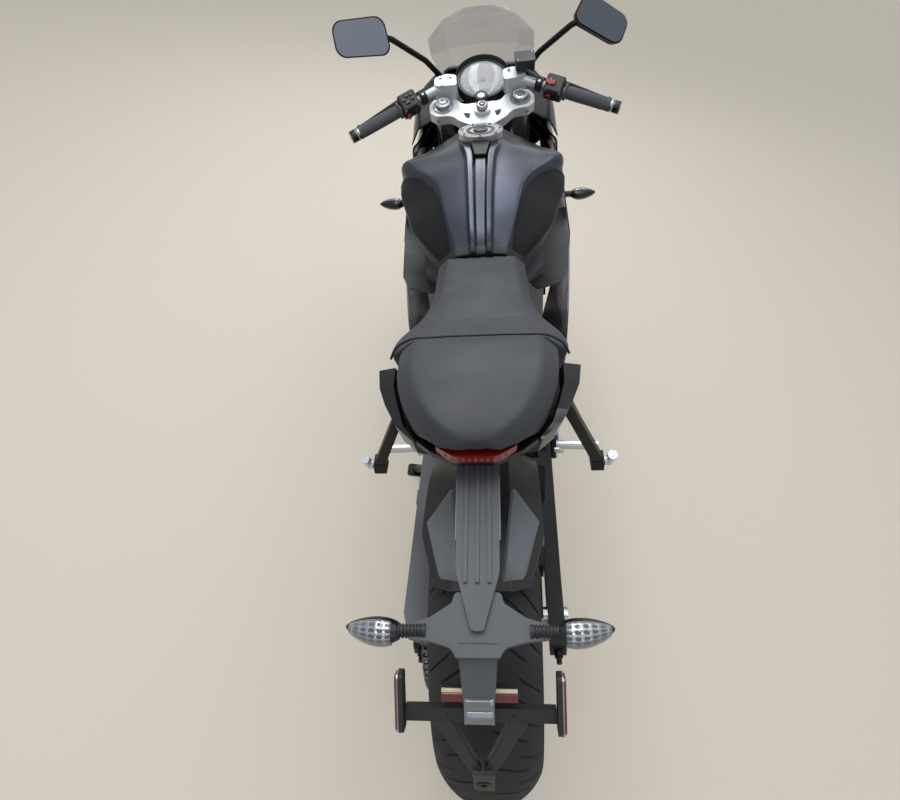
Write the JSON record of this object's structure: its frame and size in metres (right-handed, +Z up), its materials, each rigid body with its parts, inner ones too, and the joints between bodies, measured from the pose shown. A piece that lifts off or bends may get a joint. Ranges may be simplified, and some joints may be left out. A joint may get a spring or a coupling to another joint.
{
  "type": "sport motorcycle",
  "caption": "Faired sport motorcycle on its side stand, with raised clip-on bars, stepped seat, two-sided swingarm, low silencer and a tail hanger for the plate.",
  "frame": {"origin": "on the ground, below the middle of the model's box, with the motorcycle leaning left on its side stand", "axes": "+Y forward, +X to the rider's right, +Z up from the ground"},
  "size_m": [0.7796, 2.0684, 1.214],
  "materials": {
    "tyre": "matte",
    "wheel_paint": "satin",
    "steel": "brushed",
    "black_metal": "satin",
    "grey_metal": "satin",
    "chrome": "polished",
    "cast_alloy": "satin",
    "engine_metal": "cast",
    "alloy_core": "matte",
    "body_paint": "satin",
    "gloss_black": "gloss",
    "black_plastic": "matte",
    "grey_plastic": "matte",
    "rubber": "matte",
    "seat_vinyl": "matte",
    "red_lens": "gloss",
    "clear_plastic": "clear",
    "mirror_glass": "polished"
  },
  "bodies": {
    "chassis": {"frame": "black_metal", "inner_trims": "black_plastic", "subframe": "black_metal", "engine": "engine_metal", "exhaust": "steel", "radiator": "alloy_core", "windscreen": "clear_plastic", "belly_pan": "grey_plastic", "swingarm": "grey_metal", "rear_axle": "steel", "pivot_bolt": "steel", "chain": "steel", "chain_guard": "grey_plastic", "hugger": "grey_plastic", "rear_caliper": "black_metal", "shock": "black_metal", "foot_controls": "cast_alloy", "fairing_stay": "black_metal", "stand_bracket": "black_metal", "fuel_tank": "body_paint", "cap_ring": "chrome", "rider_seat": "seat_vinyl", "pillion_seat": "seat_vinyl", "tail_cowls": "gloss_black", "tail_lamp": "red_lens", "nose_cowl": "body_paint", "headlamps": "clear_plastic", "side_panels": "body_paint", "front_indicators": "black_plastic", "instrument": "black_plastic", "dash_panel": "black_plastic", "peg_hangers": "black_metal", "foot_pegs": "cast_alloy", "mudguard_hanger": "black_plastic", "plate_carrier": "black_plastic", "side_reflectors": "red_lens", "rear_indicators": "black_plastic", "mirrors": "black_plastic", "mirror_glass": "mirror_glass"},
    "fork": {"fork_tubes": "black_metal", "fork_sliders": "chrome", "front_axle": "steel", "top_yoke": "cast_alloy", "bottom_yoke": "black_metal", "front_calipers": "black_metal", "front_mudguard": "body_paint", "handlebars": "cast_alloy", "grips": "rubber", "switch_boxes": "black_plastic", "levers": "black_metal", "brake_reservoir": "black_plastic"},
    "front_wheel": {"front_tyre": "tyre", "front_rim": "wheel_paint", "front_discs": "steel"},
    "rear_wheel": {"rear_tyre": "tyre", "rear_rim": "wheel_paint", "rear_disc": "steel", "rear_sprocket": "steel"},
    "side_stand": {"side_stand": "black_metal"},
    "fuel_cap": {"cap_lid": "chrome"}
  },
  "joints": [
    {"name": "steering", "type": "hinge", "parent": "chassis", "child": "fork", "pos_m": [0.05024, 0.45697, 0.80913], "axis": [-0.1746, -0.4028, 0.8985], "range_deg": [-31.5, 24.5]},
    {"name": "front_wheel_spin", "type": "hinge", "parent": "fork", "child": "front_wheel", "pos_m": [0.14753, 0.73463, 0.2945], "axis": [-0.9751, -0.056, -0.2146], "continuous": true},
    {"name": "rear_wheel_spin", "type": "hinge", "parent": "chassis", "child": "rear_wheel", "pos_m": [0.14726, -0.69028, 0.31101], "axis": [-0.9816, -0.0002, -0.1908], "continuous": true},
    {"name": "side_stand_fold", "type": "hinge", "parent": "chassis", "child": "side_stand", "pos_m": [0.01242, -0.22036, 0.21817], "axis": [-0.9877, 0.0001, 0.1564], "range_deg": [0, 95]},
    {"name": "cap_hinge", "type": "hinge", "parent": "chassis", "child": "fuel_cap", "pos_m": [0.02113, 0.20229, 0.95909], "axis": [-0.9816, -0.0002, -0.1908], "range_deg": [0, 95]}
  ]
}
